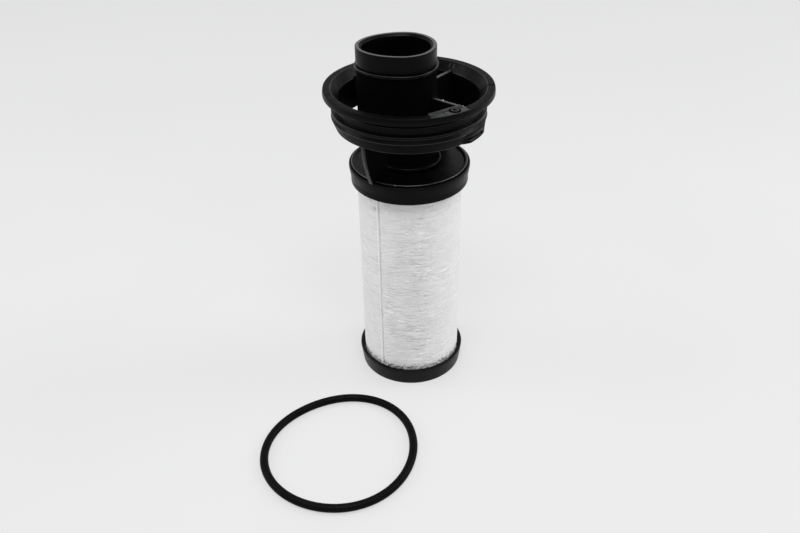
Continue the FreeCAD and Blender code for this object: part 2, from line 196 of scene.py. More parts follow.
def lathe(name, corners, material, node=None, steps=4, centre=(0, 0), longest=3.0,
          zones=()):
    """A ring-shaped piece turned about an upright axis from a closed outline."""
    outline = split_long(rounded(corners, steps), longest)
    rings = [np.stack([centre[0] + point.x * np.cos(ANGLES), centre[1] + point.x * np.sin(ANGLES),
                       np.full(AROUND, point.y)], axis=1) for point in outline]
    piece = new_object(name, np.concatenate(rings), grid_faces(len(outline), AROUND, True),
                       material, "element", node)
    paint_rows(piece, outline, corners, zones)
    return piece


def swept_arc(name, outlines, angles, material, node=None):
    """A piece swept about Z through one closed (radius, height) outline for each angle."""
    rings = [[(r * math.cos(a), r * math.sin(a), z) for r, z in outline]
             for outline, a in zip(outlines, angles)]
    around = len(rings[0])
    faces = grid_faces(len(rings), around, False)
    last = (len(rings) - 1) * around
    faces += [tuple(range(around))[::-1], tuple(range(last, last + around))]
    return new_object(name, np.concatenate(rings), faces, material, "element", node)


def plate(name, outline, thick, degrees, edge, node, soft):
    """A flat plate with softened edges, standing in the radial plane at an angle."""
    work = bmesh.new()
    sides = [[work.verts.new((r * MM, y * MM, z * MM)) for r, z in outline]
             for y in (-thick / 2, thick / 2)]
    work.faces.new(sides[0])
    work.faces.new(sides[1][::-1])
    for index in range(len(outline)):
        after = (index + 1) % len(outline)
        work.faces.new((sides[0][after], sides[0][index], sides[1][index], sides[1][after]))
    bmesh.ops.recalc_face_normals(work, faces=work.faces)
    bmesh.ops.bevel(work, geom=work.edges[:], offset=soft * MM, segments=3, affect="EDGES",
                    clamp_overlap=True)
    bmesh.ops.triangulate(work, faces=[f for f in work.faces if len(f.verts) > 4])
    bmesh.ops.rotate(work, cent=(0, 0, 0), matrix=Matrix.Rotation(math.radians(degrees), 3, "Z"),
                     verts=work.verts)
    mesh = bpy.data.meshes.new(name)
    work.to_mesh(mesh)
    work.free()
    piece = place_piece(mesh, edge, node)
    # The plate's broad sides take the darker matt copy, painted shade; the softened edges keep the
    # material passed in.
    mesh.materials.append(NYLON_MATT_SHADE)
    across = Vector((-math.sin(math.radians(degrees)), math.cos(math.radians(degrees)), 0))
    for face in mesh.polygons:
        face.use_smooth = face.area < (soft * 2.2 * MM) ** 2 * 6
        face.material_index = 1 if abs(face.normal.dot(across)) > 0.95 else 0
    return piece


def strip(name, points, width, material, lift=0.04):
    """A hairline along (radius, degrees, height) points, a little above the surface there."""
    path = [Vector((r * math.cos(math.radians(a)), r * math.sin(math.radians(a)), z + lift))
            for r, a, z in points]
    verts = []
    for index, here in enumerate(path):
        along = path[min(index + 1, len(path) - 1)] - path[max(index - 1, 0)]
        side = along.cross(Vector((0, 0, 1))).normalized() * width / 2
        verts += [here - side, here, here + side]
    verts = [(v.x, v.y, v.z + (0.02 if i % 3 == 1 else 0)) for i, v in enumerate(verts)]
    return new_object(name, verts, grid_faces(len(path), 3, False, False), material,
                      "element")


# ---- materials ----

class Nodes:
    """A material's nodes, with short calls to add and link them."""

    def __init__(self, name):
        self.material = bpy.data.materials.new(name)
        self.material.use_nodes = True
        self.tree = self.material.node_tree
        self.shader = self.tree.nodes["Principled BSDF"]
        self.place = self.add("ShaderNodeTexCoord").outputs["Object"]

    def add(self, kind, **values):
        node = self.tree.nodes.new(kind)
        for key, value in values.items():
            setattr(node, key, value)
        return node

    def link(self, source, target):
        self.tree.links.new(source, target)

    def stretched(self, scale):
        node = self.add("ShaderNodeMapping")
        node.inputs["Scale"].default_value = scale
        self.link(self.place, node.inputs["Vector"])
        return node.outputs["Vector"]

    def noise(self, scale, detail=4.0, rough=0.55, vector=None, distort=0.0):
        node = self.add("ShaderNodeTexNoise")
        node.inputs["Scale"].default_value = scale
        node.inputs["Detail"].default_value = detail
        node.inputs["Roughness"].default_value = rough
        node.inputs["Distortion"].default_value = distort
        self.link(vector or self.place, node.inputs["Vector"])
        return node.outputs["Fac"]

    def voronoi(self, scale, feature="F1"):
        node = self.add("ShaderNodeTexVoronoi", feature=feature)
        node.inputs["Scale"].default_value = scale
        self.link(self.place, node.inputs["Vector"])
        return node.outputs["Distance"]

    def ramp(self, source, stops):
        node = self.add("ShaderNodeValToRGB")
        elements = node.color_ramp.elements
        while len(elements) < len(stops):
            elements.new(0.5)
        for element, (place, colour) in zip(elements, stops):
            element.position = place
            element.color = (*colour, 1.0)
        self.link(source, node.inputs["Fac"])
        return node.outputs["Color"]

    def remap(self, source, low, high, start=0.3, end=0.7):
        node = self.add("ShaderNodeMapRange")
        node.inputs["From Min"].default_value = start
        node.inputs["From Max"].default_value = end
        node.inputs["To Min"].default_value = low
        node.inputs["To Max"].default_value = high
        self.link(source, node.inputs["Value"])
        return node.outputs["Result"]

    def mix(self, share, one, two, blend="MIX"):
        node = self.add("ShaderNodeMix", data_type="RGBA", blend_type=blend)
        for index, value in ((0, share), (6, one), (7, two)):
            socket = node.inputs[index]
            if hasattr(value, "is_output"):
                self.link(value, socket)
            elif hasattr(value, "__len__"):
                socket.default_value = (*value, 1.0)
            else:
                socket.default_value = value
        return node.outputs[2]

    def bump(self, height, distance, strength, under=None):
        node = self.add("ShaderNodeBump")
        node.inputs["Strength"].default_value = strength
        node.inputs["Distance"].default_value = distance
        self.link(height, node.inputs["Height"])
        if under is not None:
            self.link(under, node.inputs["Normal"])
        return node.outputs["Normal"]

    def finish(self, colour, roughness, normal):
        self.link(colour, self.shader.inputs["Base Color"])
        self.link(roughness, self.shader.inputs["Roughness"])
        self.link(normal, self.shader.inputs["Normal"])
        return self.material


def moulded(name, dark, light, rough, shine, grain=0.012):
    """Black glass-filled nylon: fine moulded grain, faint flow marks, and sharp edges painted paler
    as a highlight and as wear.
    """
    n = Nodes(name)
    flow = n.noise(45.0, detail=5.0, vector=n.stretched((1.0, 1.0, 2.2)), distort=0.6)
    speck = n.noise(2600.0, detail=2.0)
    base = n.ramp(flow, [(0.3, dark), (0.7, light)])
    fibres = n.remap(speck, 0.0, 0.3, 0.62, 0.78)
    coloured = n.mix(fibres, base, tuple(c * 1.8 for c in light))
    # Sharp edges, found by pointiness, are painted three times paler: a painted highlight along the
    # edges, partly standing for wear.
    edge = n.add("ShaderNodeNewGeometry").outputs["Pointiness"]
    highlit_edge = n.remap(edge, 0.0, 0.6, 0.54, 0.64)
    coloured = n.mix(highlit_edge, coloured, tuple(c * 3.0 for c in light))
    roughness = n.remap(n.noise(260.0, detail=6.0), rough - 0.06, rough + 0.08)
    coarse = n.bump(n.noise(140.0, detail=3.0), 0.00006, 0.5)
    normal = n.bump(n.noise(1700.0, detail=3.0), grain * MM, 0.8, coarse)
    n.shader.inputs["Specular IOR Level"].default_value = shine
    return n.finish(coloured, roughness, normal)


def felt(name, light, crease_shading):
    """White needled felt: short crossing fibres, patches of fine creases painted as dark and light
    dashes (painted shade and highlight), a soft sheen.
    """
    n = Nodes(name)
    cloud = n.noise(70.0, detail=5.0)
    fibre = n.noise(1900.0, detail=5.0, rough=0.7, vector=n.stretched((1.0, 1.0, 2.6)), distort=1.2)
    tufts = n.noise(420.0, detail=4.0, vector=n.stretched((1.0, 1.0, 2.0)), distort=0.8)
    base = n.ramp(cloud, [(0.3, tuple(c * 0.93 for c in light)), (0.7, light)])
    shade = n.ramp(tufts, [(0.32, (0.86, 0.86, 0.855)), (0.55, (1.0, 1.0, 1.0))])
    colour = n.mix(0.5, base, n.mix(1.0, base, shade, "MULTIPLY"))
    # Painted shade and highlight of creases: stretched noise turned into dark and light dashes,
    # laid on in patches.
    creases = n.noise(105.0, detail=2.5, rough=0.6, vector=n.stretched((1.0, 1.0, 6.5)))
    crease_shade_dashes = n.ramp(creases, [(0.30, (0.70, 0.70, 0.70)), (0.43, (1.0, 1.0, 1.0)),
                              (0.56, (1.0, 1.0, 1.0)), (0.68, (1.18, 1.18, 1.18))])
    crease_shading_patches = n.remap(n.noise(38.0, detail=2.0), 0.1, 1.0, 0.42, 0.6)
    colour = n.mix(n.mix(crease_shading_patches, (0.0,) * 3, (crease_shading,) * 3), colour,
                   n.mix(1.0, colour, crease_shade_dashes, "MULTIPLY"))
    roughness = n.remap(fibre, 0.82, 0.98)
    soft = n.bump(tufts, 0.00022, 0.9)
    normal = n.bump(fibre, 0.00009, 0.9, soft)
    n.shader.inputs["Sheen Weight"].default_value = 0.25
    n.shader.inputs["Sheen Roughness"].default_value = 0.6
    n.shader.inputs["Specular IOR Level"].default_value = 0.2
    return n.finish(colour, roughness, normal)


def rubber():
    """Black nitrile rubber: dull bloom, tiny pits."""
    n = Nodes("black_nitrile_rubber")
    bloom = n.noise(120.0, detail=6.0, distort=0.4)
    base = n.ramp(bloom, [(0.3, (0.0015, 0.0015, 0.0016)), (0.75, (0.004, 0.004, 0.0042))])
    dust = n.remap(n.voronoi(900.0), 0.35, 0.0, 0.02, 0.07)
    colour = n.mix(dust, base, (0.02, 0.02, 0.021))
    roughness = n.remap(n.noise(300.0, detail=5.0), 0.38, 0.58)
    normal = n.bump(n.noise(2200.0, detail=3.0), 0.000012, 0.8)
    n.shader.inputs["Specular IOR Level"].default_value = 0.06
    return n.finish(colour, roughness, normal)


def scrim(name, light):
    """Thin nonwoven layer, a random web of fibres."""
    n = Nodes(name)
    web = n.voronoi(1400.0, "DISTANCE_TO_EDGE")
    base = n.ramp(web, [(0.02, light), (0.12, tuple(c * 0.8 for c in light))])
    roughness = n.remap(n.noise(800.0), 0.8, 0.95)
    return n.finish(base, roughness, n.bump(web, 0.00008, 0.7))


def potting():
    """Cast resin, slightly mottled."""
    n = Nodes("cast_resin")
    cloud = n.noise(90.0, detail=5.0)
    base = n.ramp(cloud, [(0.3, (0.34, 0.28, 0.19)), (0.7, (0.46, 0.40, 0.29))])
    return n.finish(base, n.remap(cloud, 0.3, 0.5), n.bump(n.noise(300.0), 0.0001, 0.4))


def steel():
    """Rolled and punched stainless sheet, brushed round the tube."""
    n = Nodes("punched_steel")
    lines = n.noise(500.0, detail=4.0, vector=n.stretched((0.15, 0.15, 4.0)))
    base = n.ramp(lines, [(0.3, (0.42, 0.42, 0.43)), (0.7, (0.62, 0.62, 0.63))])
    n.shader.inputs["Metallic"].default_value = 1.0
    return n.finish(base, n.remap(lines, 0.25, 0.42), n.bump(lines, 0.00002, 0.6))


# Lit and shaded copies of the black nylon: the matt copy is a real matt finish made darker as
# painted shade; the land copy is dulled as painted shade; the cap copy is paler as painted light;
# the edge and sheen copies are paler and shinier as painted highlights; the polished copy is a real
# polished pin mark with a painted highlight; the knit-line copy is the dark of real moulding lines
# and the painted shade in the lug's slot.
NYLON_MATT_SHADE = moulded("black_nylon_matt_painted_shade", (0.0008, 0.0008, 0.0008), (0.0014, 0.0014, 0.0015),
                     0.7, shine=0.02, grain=0.02)
NYLON = moulded("black_nylon", (0.0012, 0.0012, 0.0013), (0.0022, 0.0022, 0.0023), 0.33,
                shine=0.075)
NYLON_FOOT_LIT = moulded("black_nylon_cap_painted_light", (0.0018, 0.0018, 0.0019), (0.0032, 0.0032, 0.0033), 0.36,
                    shine=0.115)
NYLON_GLOSS_HIGHLIGHT = moulded("black_nylon_polished_painted_highlight", (0.004, 0.004, 0.0042), (0.008, 0.008, 0.0082), 0.16,
                      shine=0.6, grain=0.002)
NYLON_HIGHLIGHT = moulded("black_nylon_painted_highlight", (0.004, 0.004, 0.0041), (0.008, 0.008, 0.0081), 0.3,
                     shine=1.0, grain=0.004)
NYLON_SOFT_HIGHLIGHT = moulded("black_nylon_painted_soft_highlight", (0.003, 0.003, 0.0031), (0.006, 0.006, 0.0061), 0.34,
                      shine=0.4, grain=0.004)
NYLON_DULL_SHADE = moulded("black_nylon_dulled_painted_shade", (0.0012, 0.0012, 0.0013), (0.0022, 0.0022, 0.0023), 0.4,
                     shine=0.04)
NYLON_DARK_LINE_AND_SHADE = moulded("black_nylon_knit_line_and_slot_shade", (0.0003, 0.0003, 0.0003), (0.0006, 0.0006, 0.0006),
                     0.7, shine=0.02, grain=0.002)
FELT = felt("white_needle_felt", (0.87, 0.87, 0.865), 1.0)
# The welt's felt is paler than the sleeve's: a painted highlight along the raised welt.
FELT_WELT_LIT = felt("welded_felt_painted_highlight", (0.96, 0.96, 0.955), 0.0)
RUBBER = rubber()


# ---- end caps ----

def lower_cap():
    """A flat dish whose wall leans out to the rim that holds the sleeve."""
    # The whole dish takes the paler cap copy of the nylon: painted light.
    lathe("lower_end_cap_moulding", [
        (0.02, 0.0, 0), (FOOT_RADIUS, 0.0, 0.9), (FOOT_RIM_RADIUS, FOOT_TOP, 0.7),
        (FOOT_RIM_RADIUS - 2.1, FOOT_TOP, 0.5), (FELT_RADIUS + 0.3, 4.5, 0),
        (FELT_RADIUS - 1, 2.5, 0), (0.02, 2.5, 0)], NYLON_FOOT_LIT, "lower_end_cap")


def upper_cap():
    """A plate with a tapered skirt, a flange and a raised bead with a fine groove round it."""
    hole, skirt_inner, skirt, under = 16.6, 34.6, FLANGE_RADIUS - 1.0, PLATE_TOP - 2.7
    bead_in, bead_out = 35.3, 36.8
    # The bead's top takes the edge copy, a painted highlight; the fine groove beside the bead takes
    # the matt copy, painted shade.
    lathe("upper_end_cap_moulding", [
        (hole, under, 0), (skirt_inner, under, 0.3), (skirt_inner, SKIRT_BOTTOM, 0.3),
        (skirt, SKIRT_BOTTOM, 0.5), (skirt, 149.0, 3.0), (FLANGE_RADIUS, 155.2, 2.0),
        (FLANGE_RADIUS, PLATE_TOP, 0.5), (bead_out + 0.5, PLATE_TOP, 0.1),
        (bead_out + 0.2, PLATE_TOP - 0.5, 0.1), (bead_out, CAP_TOP, 0.55),
        (bead_in, CAP_TOP, 0.5), (bead_in - 0.9, PLATE_TOP, 0.6), (hole, PLATE_TOP, 0)],
        NYLON, "upper_end_cap", zones=[
            (NYLON_HIGHLIGHT, lambda r, z, highlit_edge: bead_out - 0.8 < r <= bead_out and z > PLATE_TOP + 0.4),
            (NYLON_MATT_SHADE, lambda r, z, highlit_edge: FLANGE_RADIUS - 1.2 > r > bead_out - 0.1)])


def weld_ring():
    """A rounded ring round the duct's foot."""
    # The ring is in the darker matt copy, painted shade, with the plain nylon only on its outer top
    # edge.
    lathe("weld_ring_bead", [
        (SPIGOT_RADIUS - 0.4, PLATE_TOP, 0), (WELD_RADIUS, PLATE_TOP, 0),
        (WELD_RADIUS, WELD_TOP, 1.3), (SPIGOT_RADIUS - 0.4, WELD_TOP, 0.2)],
        NYLON_MATT_SHADE, "weld_ring", steps=6,
        zones=[(NYLON, lambda r, z, highlit_edge: r > WELD_RADIUS - 1.0 and z > PLATE_TOP + 1.6)])


# ---- sealing collar with its lug, shelf and moulding marks ----

def bore_at(level):
    """Radius of the collar's drafted bore at a level."""
    share = (level - COLLAR_BOTTOM) / (FLARE_BOTTOM - COLLAR_BOTTOM)
    return COLLAR_FOOT_BORE + share * (COLLAR_BORE - COLLAR_FOOT_BORE)


def land_at(level):
    """Radius of the collar's tapered land at a level."""
    share = (level - COLLAR_BOTTOM) / (LAND_TOP - COLLAR_BOTTOM)
    return COLLAR_FOOT + share * (LAND_RADIUS - COLLAR_FOOT)


def flare_at(radius):
    """Level of the flare, between the bore and the lip, at a radius."""
    share = (radius - COLLAR_BORE) / (LIP_INNER - COLLAR_BORE)
    return FLARE_BOTTOM + share * (LIP_TOP - FLARE_BOTTOM)


def collar():
    """The collar, its rows painted lit or shaded by zone: sheen on rounded edges and the bead top
    as painted highlight, painted shade on the lip flat, bore and land; its lip takes a painted
    highlight where the shelf meets it.
    """
    piece = lathe("sealing_collar_moulding", [
        (LIP_INNER, LIP_TOP, 0.4), (RIM_RADIUS - 0.35, LIP_TOP, 0.7),
        (RIM_RADIUS, LIP_TOP - 2.2, 1.6), (RIM_RADIUS, 203.3, 0.5), (RIM_RADIUS - 1.6, 202.5, 0.5), (UNDERCUT_FLOOR, 201.7, 0.3),
        (UNDERCUT_FLOOR, 198.9, 0.2), (GROOVE_FLOOR, 198.9, 0.25), (GROOVE_FLOOR, 194.2, 0.2),
        (BEAD_RADIUS, 194.2, 0.3), (BEAD_RADIUS, 192.6, 0.3), (RELIEF_FLOOR, 192.5, 0.2),
        (RELIEF_FLOOR, 191.5, 0.2),
        (LAND_RADIUS, LAND_TOP, 0.5), (COLLAR_FOOT, COLLAR_BOTTOM, 0.7),
        (COLLAR_FOOT_BORE, COLLAR_BOTTOM, 0.5), (COLLAR_BORE, FLARE_BOTTOM, 0.6)],
        NYLON, "sealing_collar", zones=[
            (NYLON_SOFT_HIGHLIGHT, lambda r, z, highlit_edge: highlit_edge and (r < LIP_INNER + 0.5 or 189 < z < 191)),
            (NYLON_DULL_SHADE, lambda r, z, highlit_edge: r > LIP_INNER and z > LIP_TOP - 0.1),
            (NYLON_SOFT_HIGHLIGHT, lambda r, z, highlit_edge: 194 < z < 194.4 and r > GROOVE_FLOOR + 0.9),
            (NYLON_MATT_SHADE, lambda r, z, highlit_edge: r < COLLAR_BORE + 0.05 and z < FLARE_BOTTOM),
            (NYLON_DULL_SHADE, lambda r, z, highlit_edge: z < LAND_TOP)])
    # Lip faces over the shelf are switched to the sheen copy: a painted highlight.
    soft_highlight_slot, lip_slot = 1, 2
    for face in piece.data.polygons:
        angle = math.degrees(math.atan2(face.center.y, face.center.x))
        if face.material_index == lip_slot and SHELF_START < angle < SHELF_END:
            face.material_index = soft_highlight_slot


def locking_lug():
    """An upright lug with a slot painted dark as shade; both ends fade into the land."""
    outlines, angles = [], []
    for step in range(81):
        share = step / 80
        angle = LUG_START + LUG_SPAN * share
        fade = math.sin(min(1.0, share / 0.2, (1 - share) / 0.3) * math.pi / 2)
        floor_radius = LUG_RADIUS - 1.5 * math.exp(-(abs(angle - SLOT_ANGLE) / 9.0) ** 12)
        outer = [(47.0, 183.0), (47.9, 183.4), (48.3, 184.0), (LUG_RADIUS, 184.7),
                 (floor_radius, 185.0), (floor_radius, 186.9), (LUG_RADIUS, 187.2),
                 (48.3, 189.5), (48.0, 189.8)]
        profile = [(land_at(z) - 0.1 + fade * (r - land_at(z) + 0.1), z) for r, z in outer]
        outlines.append([(44.0, 183.2), *profile, (44.0, 189.6)])
        angles.append(math.radians(angle))
    lug = swept_arc("locking_lug_moulding", outlines, angles, NYLON, "locking_lug")
    # Faces inside the recessed slot take the dark knit-line copy: painted shade.
    lug.data.materials.append(NYLON_DARK_LINE_AND_SHADE)
    for face in lug.data.polygons:
        x, y, z = face.center / MM
        beside = abs(math.degrees(math.atan2(y, x)) - SLOT_ANGLE)
        if math.hypot(x, y) < 47.7 and SLOT_LOW < z < SLOT_HIGH and beside < 8.6:
            face.material_index = 1


def shelf():
    """A flat web flush with the lip; it narrows towards its left end and is painted with a soft
    highlight.
    """
    low, outer, outlines = SHELF_TOP - 1.6, LIP_INNER + 0.2, []
    degrees = np.linspace(SHELF_START, SHELF_END, 40)
    for angle in degrees:
        inner = 42.0 + 1.8 * max(0.0, (-60.0 - angle) / 16.0)
        outline = rounded([(inner, low, 0.4), (46.2, low, 0), (outer, SHELF_TOP - 0.25, 0),
                           (outer, SHELF_TOP, 0), (inner, SHELF_TOP, 0.4)])
        outlines.append([tuple(point) for point in outline])
    swept_arc("collar_shelf_web", outlines, np.radians(degrees), NYLON_SOFT_HIGHLIGHT,
              "collar_shelf")


def on_shelf(reach, degrees):
    """The x and y of a place given by its distance from the axis and its direction."""
    angle = math.radians(degrees)
    return reach * math.cos(angle), reach * math.sin(angle)


def moulding_marks():
    """A blank round insert with a pointer, a domed pin mark, two ticks and three dark lines."""
    top = SHELF_TOP
    # The insert's rings are in the darker matt copy, painted shade, with the sheen copy on their
    # tops as a painted highlight.
    lathe("mould_insert_rings", [
        (0.02, top - 0.1, 0), (3.5, top - 0.1, 0), (3.5, top + 0.22, 0.1), (3.0, top + 0.22, 0.1),
        (2.9, top + 0.02, 0), (2.45, top + 0.02, 0), (2.35, top + 0.4, 0.12),
        (1.55, top + 0.4, 0.12), (1.4, top + 0.08, 0), (0.02, top + 0.08, 0)],
        NYLON_MATT_SHADE, "mould_insert", centre=on_shelf(*INSERT_PLACE), longest=0.5,
        zones=[(NYLON_SOFT_HIGHLIGHT, lambda r, z, highlit_edge: 1.6 < r < 2.3 and z > top + 0.3)])
    x, y = on_shelf(*INSERT_PLACE)
    pointer = [(-1.2, -0.22), (0.4, -0.22), (0.4, -0.6), (1.25, 0.0), (0.4, 0.6), (0.4, 0.22),
               (-1.2, 0.22)]
    turn = Matrix.Rotation(math.radians(28.0), 2)
    flat = [turn @ Vector(p) for p in pointer]
    verts = [(x + p.x, y + p.y, z) for z in (top, top + 0.33) for p in flat]
    count = len(flat)
    faces = [tuple(range(count))[::-1], tuple(range(count, 2 * count))]
    faces += [(i, (i + 1) % count, count + (i + 1) % count, count + i) for i in range(count)]
    new_object("mould_insert_pointer", verts, faces, NYLON, "element")
    # The pin mark's dome is polished, and its paler polished copy paints a highlight on it.
    lathe("ejector_mark_dome", [
        (0.01, top - 0.1, 0), (0.9, top - 0.1, 0), (0.9, top + 0.15, 0.1), (0.7, top + 0.36, 0.2),
        (0.4, top + 0.46, 0.2), (0.01, top + 0.5, 0)],
        NYLON_GLOSS_HIGHLIGHT, "ejector_mark", centre=on_shelf(*PIN_MARK_PLACE), longest=0.3)
    # The ticks are drawn in the sheen copy: painted highlight lines.
    for name, degrees in (("flare_tick_one", 54.7), ("flare_tick_two", 50.7)):
        strip(name, [(r, degrees, flare_at(r)) for r in (44.5, 45.2, 45.9, 46.5)], 0.6,
              NYLON_SOFT_HIGHLIGHT, 0.12)
    knit = [(51.2, -2.2, LIP_TOP), (49.0, -2.2, LIP_TOP), (47.3, -2.3, LIP_TOP),
            (45.5, -1.6, flare_at(45.5)), (43.7, -0.9, flare_at(43.7)),
            (43.0, -5.5, flare_at(43.0))]
    strip("collar_knit_line", knit, 0.95, NYLON_DARK_LINE_AND_SHADE, 0.12)
    strip("collar_rim_nick", [(50.0, -162.9, LIP_TOP), (49.2, -162.9, LIP_TOP),
                              (48.0, -162.8, LIP_TOP)], 0.6, NYLON_DARK_LINE_AND_SHADE, 0.1)
    strip("shelf_end_line", [(r, SHELF_END, LIP_TOP) for r in (48.0, 49.5, 51.2)], 0.7,
          NYLON_DARK_LINE_AND_SHADE, 0.1)


# ---- inlet duct, and the plates that hold it ----

def duct_ring(level, grow):
    """Plan of the duct at a level: an egg above the shoulder, a circle below the neck."""
    cosine, sine = np.cos(ANGLES), np.sin(ANGLES)
    reach = np.where(cosine > 0, ROUND_LENGTH + grow, POINT_LENGTH + grow)
    egg = np.stack([DUCT_CENTRE + reach * cosine, (HALF_WIDTH + grow) * sine], axis=1)
    share = min(max((DUCT_SHOULDER - level) / (DUCT_SHOULDER - DUCT_NECK_TOP), 0), 1)
    share = share * share * (3 - 2 * share)
    circle = (SPIGOT_RADIUS + min(grow, 0.0)) * np.stack([cosine, sine], axis=1)
    return egg * (1 - share) + circle * share


def duct_reach(level, degrees):
    """Distance from the axis to the duct's outside in one direction."""
    plan = duct_ring(level, 0.0)
    angles = np.arctan2(plan[:, 1], plan[:, 0])
    order = np.argsort(angles)
    return float(np.interp(math.radians(degrees), angles[order],
                           np.hypot(plan[:, 0], plan[:, 1])[order], period=2 * math.pi))


def duct():
    """An egg-shaped mouth with a groove and a bead, above a shoulder and a round neck."""
    top, wall = DUCT_TOP, DUCT_WALL
    corners = [
        (0.0, top, 0.45), (0.0, 221.6, 0.35), (-0.9, 221.3, 0.2), (-0.9, 220.8, 0.2),
        (BEAD_GROW, 220.7, 0.4), (BEAD_GROW, 219.2, 0.4), (0.0, 218.9, 0.4),
        (0.0, DUCT_SHOULDER, 0), (0.0, DUCT_NECK_TOP, 0), (0.0, DUCT_BOTTOM, 0),
        (-wall, DUCT_BOTTOM, 0), (-wall, DUCT_NECK_TOP, 0), (-wall, DUCT_SHOULDER, 0),
        (-wall, top - 1.5, 0.5), (-2.0, top, 0.35)]
    outline = split_long(rounded(corners), 2.0)
    rings = [np.column_stack([duct_ring(p.y, p.x), np.full(AROUND, p.y)]) for p in outline]
    piece = new_object("inlet_duct_moulding", np.concatenate(rings),
                       grid_faces(len(outline), AROUND, True), NYLON, "element",
                       "inlet_duct")
    # Rows painted lit or shaded: the lip flat takes the edge copy and the bead's rounded edges the
    # sheen copy, as painted highlights; everything below the bead and the inside take the matt
    # copy, as painted shade.
    paint_rows(piece, outline, corners, [
        (NYLON_HIGHLIGHT, lambda out, z, highlit_edge: z > top - 0.15 and -2.1 < out < -0.2),
        (NYLON_SOFT_HIGHLIGHT, lambda out, z, highlit_edge: highlit_edge and 219 < z < 221),
        (NYLON_MATT_SHADE, lambda out, z, highlit_edge: z < 218.9 or (out < 0.01 - wall and z < top - 3))])


def duct_weld_line():
    """A hairline across the duct's lip at its back right."""
    plan = {grow: duct_ring(DUCT_TOP, grow) for grow in (-0.3, -1.1, -1.9)}
    points = []
    for grow, index in zip(plan, (52, 54, 56)):
        x, y = plan[grow][index]
        points.append((math.hypot(x, y), math.degrees(math.atan2(y, x)), DUCT_TOP))
    strip("duct_lip_weld_line", points, 0.35, NYLON_DARK_LINE_AND_SHADE)


def ribs():
    """Thin plates between the duct and the collar's bore."""
    low, top = 186.0, 203.0
    for node, degrees in RIBS.items():
        levels = np.linspace(top, low, 8)
        inner = [(duct_reach(z, degrees) - 1.6, z) for z in levels]
        outer = [(bore_at(low) + 0.3, low), (COLLAR_BORE + 0.3, FLARE_BOTTOM),
                 (COLLAR_BORE + 1.5, top)]
        # Rib edges are in the edge copy: painted highlight.
        plate(node + "_plate", inner + outer, 2.0, degrees, NYLON_HIGHLIGHT, node, soft=0.3)


def struts():
    """Plates whose outer edge bows from the collar's foot down to the cap's rim."""
    start, end = Vector((38.7, 156.4)), Vector((COLLAR_FOOT, COLLAR_BOTTOM))
    belly = Vector((43.3, 170.6)) * 2 - (start + end) / 2
    bow = []
    for step in range(13):
        share = step / 12
        bow.append(tuple(start.lerp(belly, share).lerp(belly.lerp(end, share), share)))
    for node, degrees in STRUTS.items():
        inner = [(24.0, COLLAR_BOTTOM), (24.0, PLATE_TOP - 0.3), (37.6, PLATE_TOP - 0.3),
                 (37.6, 156.4)]
        # Strut edges are in the sheen copy: painted highlight.
        plate(node + "_plate", bow + inner, 3.0, degrees, NYLON_SOFT_HIGHLIGHT, node, soft=0.4)
    # The pad is in the darker matt copy: painted shade.
    outline = rounded([(39.2, 183.0, 0.3), (41.9, 183.0, 0), (41.9, 184.5, 0), (39.2, 184.5, 0.3)])
    angles = np.radians(np.linspace(35.0, 55.0, 24))
    swept_arc("strut_back_right_pad", [[tuple(p) for p in outline]] * len(angles), angles,
              NYLON_MATT_SHADE)


# ---- felt sleeve and its seam ----

def wrinkles(x, y, z):
    """Height of the felt's crinkles, most of them short and lying round the sleeve."""
    along = noise.noise(Vector((x * 0.09, y * 0.09, z * 0.42)))
    short = noise.noise(Vector((x * 0.3 + 9, y * 0.3, z * 0.95)))
    lumps = noise.noise(Vector((x * 0.05, y * 0.05 + 5, z * 0.06)))
    line = noise.noise(Vector((x * 0.16, y * 0.16 - 7, z * 0.62)))
    where = noise.noise(Vector((x * 0.11 + 3, y * 0.11, z * 0.12)))
    crease = max(0.0, 1 - abs(line) * 7) * min(1.0, max(0.0, where * 3 + 0.55))
    return 0.18 * along + 0.16 * short + 0.16 * lumps - 0.42 * crease


def felt_sleeve():
    """The sleeve: creased most to the right of its seam, pinched there, tucked in at its ends."""
    around, levels = 600, 440
    angles = np.arange(around) * 2 * math.pi / around
    heights = np.linspace(FELT_BOTTOM, FELT_TOP, levels)
    radius = FELT_RADIUS - 0.25
    rings = []
    for z in heights:
        low, high = max(0.0, z - FOOT_TOP), max(0.0, SKIRT_BOTTOM - z)
        ring = []
        for angle in angles:
            x, y = radius * math.cos(angle), radius * math.sin(angle)
            off = (angle - SEAM_ANGLE + math.pi) % (2 * math.pi) - math.pi
            across = off * radius
            pinch = -(0.75 if across > 0 else 0.2) * math.exp(-((abs(across) - 1.1) / 0.4) ** 2)
            gather = noise.noise(Vector((x * 0.9, y * 0.9, z * 0.3)))
            ragged = max(0.0, 0.5 + 4.0 * noise.noise(Vector((x * 1.2, y * 1.2, 4))))
            tuck = -(0.5 + 1.1 * gather) * math.exp(-(low / (0.4 + ragged)) ** 2)
            tuck -= (0.2 + 0.3 * gather) * math.exp(-high / 1.0)
            handled = 0.35 + 0.65 * math.exp(-((across - 17) / 20) ** 4)
            reach = radius + handled * wrinkles(x, y, z) + pinch + tuck
            ring.append((reach * math.cos(angle), reach * math.sin(angle), z))
        rings.append(ring)
    inner = FELT_RADIUS - FELT_THICK
    for z in heights[::-1][::12]:
        rings.append([(inner * math.cos(a), inner * math.sin(a), z) for a in angles])
    verts = np.concatenate([np.array(ring) for ring in rings])
    sleeve = new_object("felt_sleeve", verts, grid_faces(len(rings), around, True), FELT,
                        "element", "drainage_sleeve")


